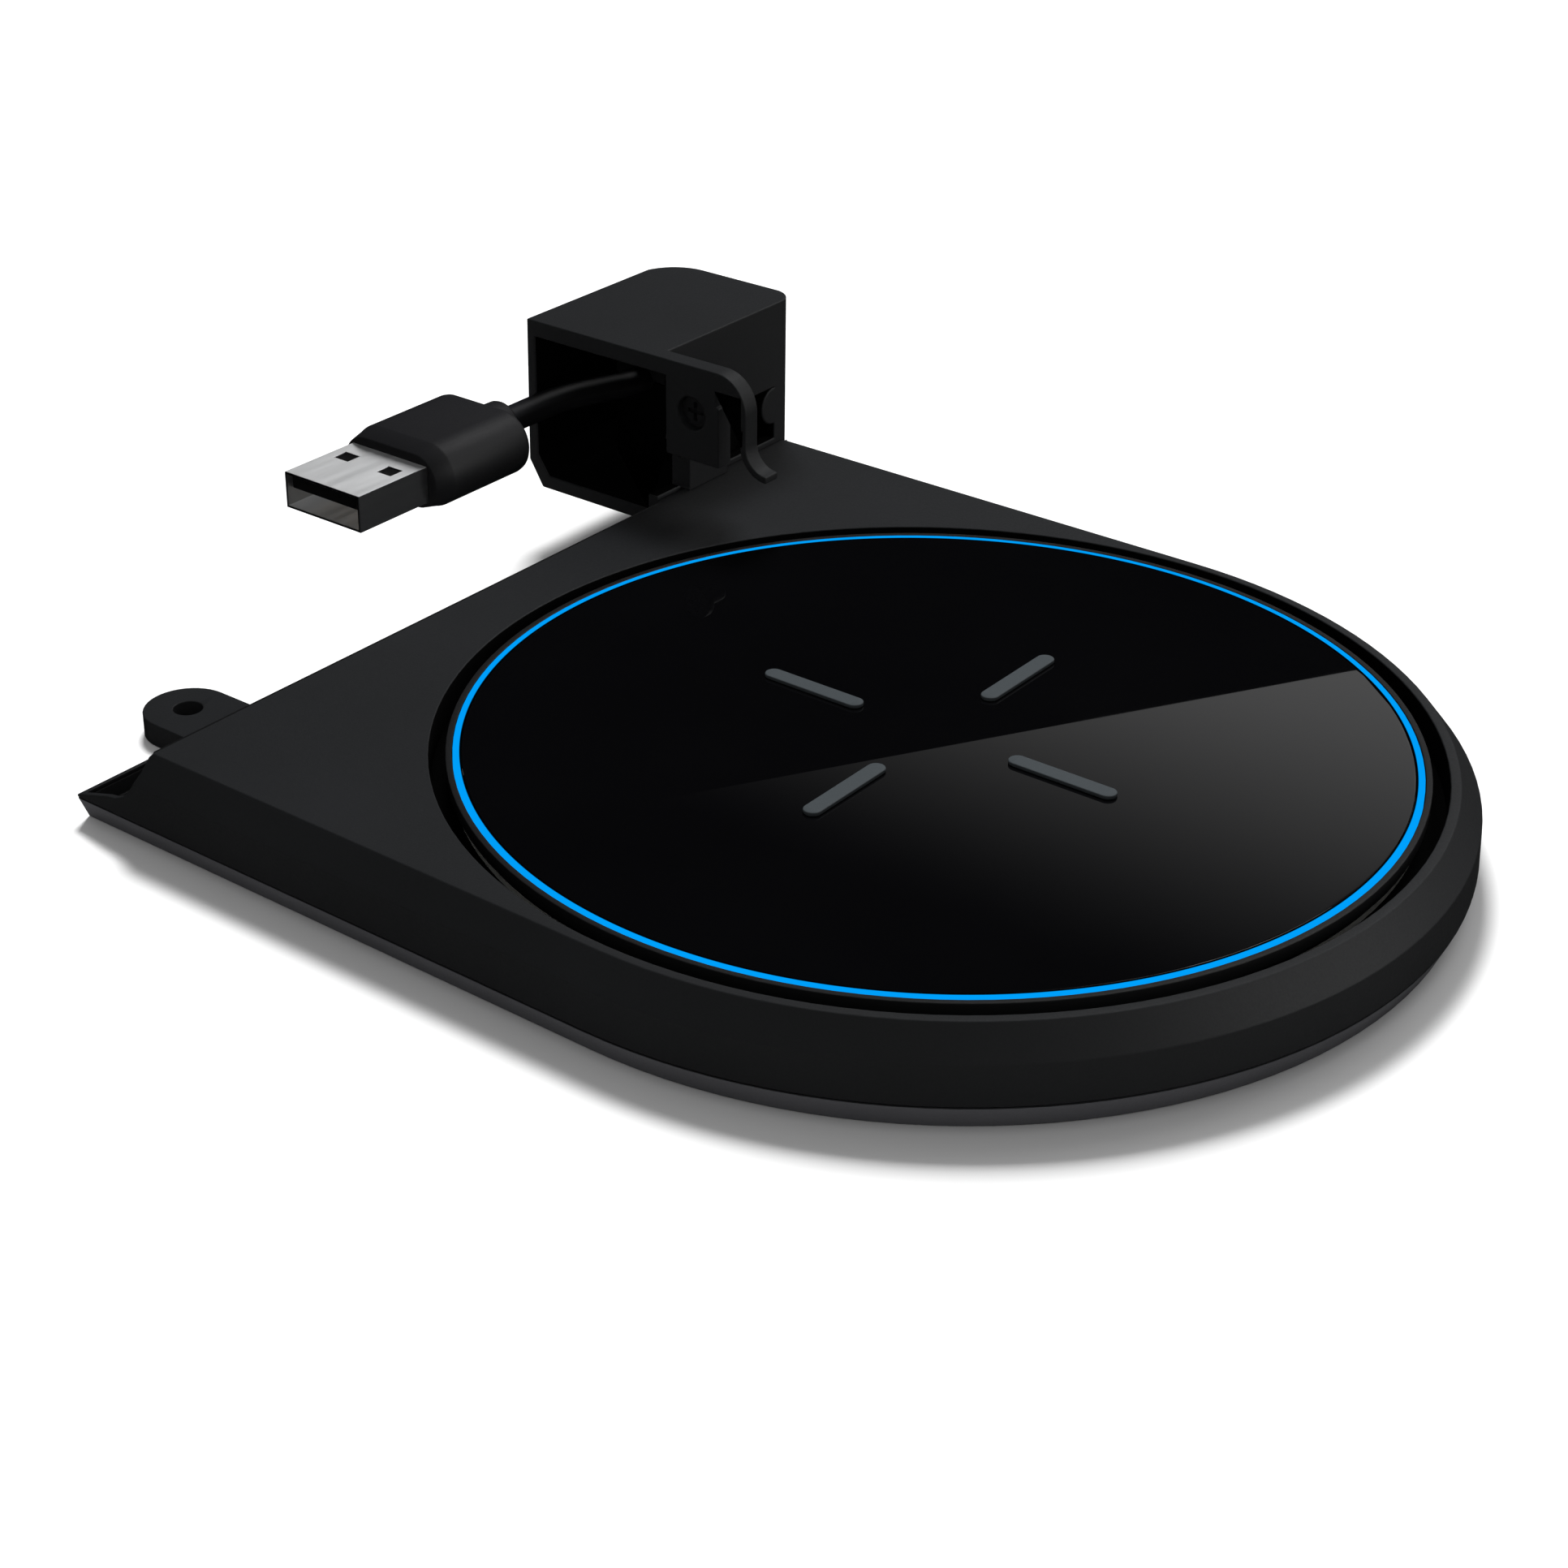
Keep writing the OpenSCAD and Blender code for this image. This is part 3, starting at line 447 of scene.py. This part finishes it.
# Tin plate, rolled: a bright soft mirror with lines along the shell. They are drawn 1.1 mm wide and
# 17 mm long, 900 and 60 to the metre, coarser than the real ones so that they show.
tin, tree, shader = finish_of("tin_plated_steel", Metallic=1.0)
along = add(tree, "ShaderNodeMapping", {"Scale": (900, 60, 900)}, {"Vector": place(tree)})
lines = add(tree, "ShaderNodeTexNoise", {"Scale": 1.0, "Detail": 3}, {"Vector": along.outputs["Vector"]})
drawn = lines.outputs["Fac"]
spread(tree, drawn, 0.38, 0.5, shader, "Roughness")
spread(tree, drawn, colour("#d2d3d4"), colour("#e2e3e4"), shader, "Base Color")
plug_shell = rounded("plug_shell", "plug_shell_folded", 0.12 * MM, tin, segments=3)

# A small soft box that only the tinned shell mirrors, from behind it on the left.
tinned = bpy.data.collections.new("tinned_pieces")
tinned.objects.link(plug_shell)
shell_middle = (-0.078, -0.005, 0.019)
shell_light = soft_light("shell_box", 0.35, (-0.37, 0.43, 0.30), shell_middle, 0.5, mirrored=True)
shell_light.light_linking.receiver_collection = tinned

# The grip is soft PVC, moulded over the shell and the cord: satin, like the case.
soft_grip = satin_abs("overmoulded_pvc", "#151517", "#1a1a1c", 0.5)
grip_low, grip_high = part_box("plug_moulding")
grip_middle = (grip_low[0] + grip_high[0]) / 2, (grip_low[2] + grip_high[2]) / 2

# Each row: distance back from the grip's front, width and height, in mm. The wide bevel at the front
# ends in a collar round the shell, and the back steps down to the neck.
front_rows = [(0, 11.6, 4.2), (0, 14.5, 6.5), (0.12, 14.75, 6.75), (2.35, 15.75, 7.75), (2.5, 15.9, 7.9)]
body_rows = [(2.8, 16, 8), (15.1, 16, 8), (15.6, 15.8, 7.8), (15.9, 15.3, 7.3), (16, 14.7, 6.7)]
neck_rows = [(16, 6.8, 6.8), (16.1, 6.3, 6.3), (16.4, 6.05, 6.05), (19.1, 5.95, 5.95), (19.4, 5.7, 5.7),
             (19.5, 5.3, 5.3), (19.5, 3.5, 3.5)]
grip_rows = front_rows + body_rows + neck_rows


def slot_ring(work, width, height, y, count=72):
    """A ring of vertices round a flat slot shape with half-round ends, across the grip at y."""
    straight = (width - height) / 2
    ring = []
    for step in range(count):
        turn = 2 * math.pi * (step + 0.5) / count
        side = math.copysign(straight, math.cos(turn)) if straight > 0 else 0
        ring.append(work.verts.new((grip_middle[0] + side + height / 2 * math.cos(turn), y,
                                    grip_middle[1] + height / 2 * math.sin(turn))))
    return ring


work = bmesh.new()
rings = [slot_ring(work, wide * MM, high * MM, grip_low[1] + back * MM) for back, wide, high in grip_rows]
for front, behind in zip(rings, rings[1:]):
    for a, b, c, d in zip(front, front[1:] + front[:1], behind[1:] + behind[:1], behind):
        work.faces.new((a, b, c, d))
work.faces.new(rings[0])
work.faces.new(rings[-1])
bmesh.ops.recalc_face_normals(work, faces=work.faces)
for face in work.faces:
    face.smooth = True
grip_mesh = bpy.data.meshes.new("plug_grip")
work.to_mesh(grip_mesh)
work.free()
grip_mesh.set_sharp_from_angle(angle=math.radians(50))
grip_mesh.materials.append(soft_grip)
plug_grip = bpy.data.objects.new("plug_grip", grip_mesh)
bpy.context.collection.objects.link(plug_grip)
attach(plug_grip, "root")
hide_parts("plug_moulding")

# The tongue is moulded nylon: a plain deep black with a slight sheen.
black_nylon, tree, shader = finish_of("black_nylon", Roughness=0.5)
nylon_grain = grain(tree, shader, 0.3 * MM, 0.01 * MM)
spread(tree, nylon_grain, colour("#060607"), colour("#0b0b0c"), shader, "Base Color")
plug_tongue = rounded("plug_tongue", "plug_tongue_bar", 0.1 * MM, black_nylon)

# The contacts are gold-plated brass: a warm soft mirror. Its wear is drawn at 0.56 mm, 1800 to the metre.
gilt, tree, shader = finish_of("gold_plated_brass", Metallic=1.0)
wear = add(tree, "ShaderNodeTexNoise", {"Scale": 1800, "Detail": 2}, {"Vector": place(tree)})
gilt_wear = wear.outputs["Fac"]
spread(tree, gilt_wear, 0.22, 0.36, shader, "Roughness")
spread(tree, gilt_wear, colour("#c9a04a"), colour("#dcb75f"), shader, "Base Color")
plug_contacts = rounded("plug_contacts", "plug_contact_strips", 0.03 * MM, gilt)

# The plug and its lead throw no shadow, so the floor under them stays clean.
for piece in (plug_shell, plug_grip, plug_tongue, plug_contacts, cord):
    piece.visible_shadow = False


# ---------------------------------------------------------------------------
# Inside: the coil, its ferrite and leads, the board and its parts, the light's board and its lamps.
# Copper wire under clear enamel looks warm and half glossy, and ferrite, epoxy and ceramic are matt.
# Solder mask is a deep green with a sheen, nylon is a clean white, and the lead's PVC is black.
enamel = plain("enamelled_copper", "#9a5a2c", "#b87240", 0.35, 0.4 * MM, Metallic=1.0)
ferrite = plain("fired_ferrite", "#26262a", "#303034", 0.7, 0.5 * MM)
mask = plain("solder_mask", "#0d4225", "#125030", 0.4, 1.2 * MM)
epoxy = plain("moulded_epoxy", "#121214", "#1a1a1c", 0.6, 0.3 * MM)
ceramic = plain("fired_ceramic", "#a68c69", "#bda37e", 0.5, 0.4 * MM)
nylon = plain("white_nylon", "#dcdcd6", "#ecece6", 0.45, 0.5 * MM)
wire = plain("black_pvc", "#0b0b0c", "#121214", 0.5, 0.6 * MM)
inner = {"charging_coil": enamel, "coil_leads": enamel, "ferrite_sheet": ferrite, "inductor": ferrite,
         "main_board": mask, "driver_chips": epoxy, "thermistor": epoxy, "resonance_capacitors": ceramic,
         "lead_connector": nylon, "led_board": nylon, "leds": nylon, "inner_lead": wire,
         "tray_gasket": rubber}
for node, finish in inner.items():
    dress(node, finish)


# ---------------------------------------------------------------------------
# Fill lights: two weak soft boxes, in front and at the right, which reach only the black pieces so
# that their dark faces keep some shape. They come last because they need those pieces.
filled = bpy.data.collections.new("filled_pieces")
for piece in (cover, housing, bezel, box_shell, plug_grip):
    filled.objects.link(piece)
fill = soft_light("front_fill", 1.0, (0.35, -1.0, 0.35), (0, 0, 0), 1.9)
fill.light_linking.receiver_collection = filled
side_fill = soft_light("right_fill", 0.8, (1.0, 0.45, 0.4), (0, 0, 0), 2.4, mirrored=True)
side_fill.light_linking.receiver_collection = filled
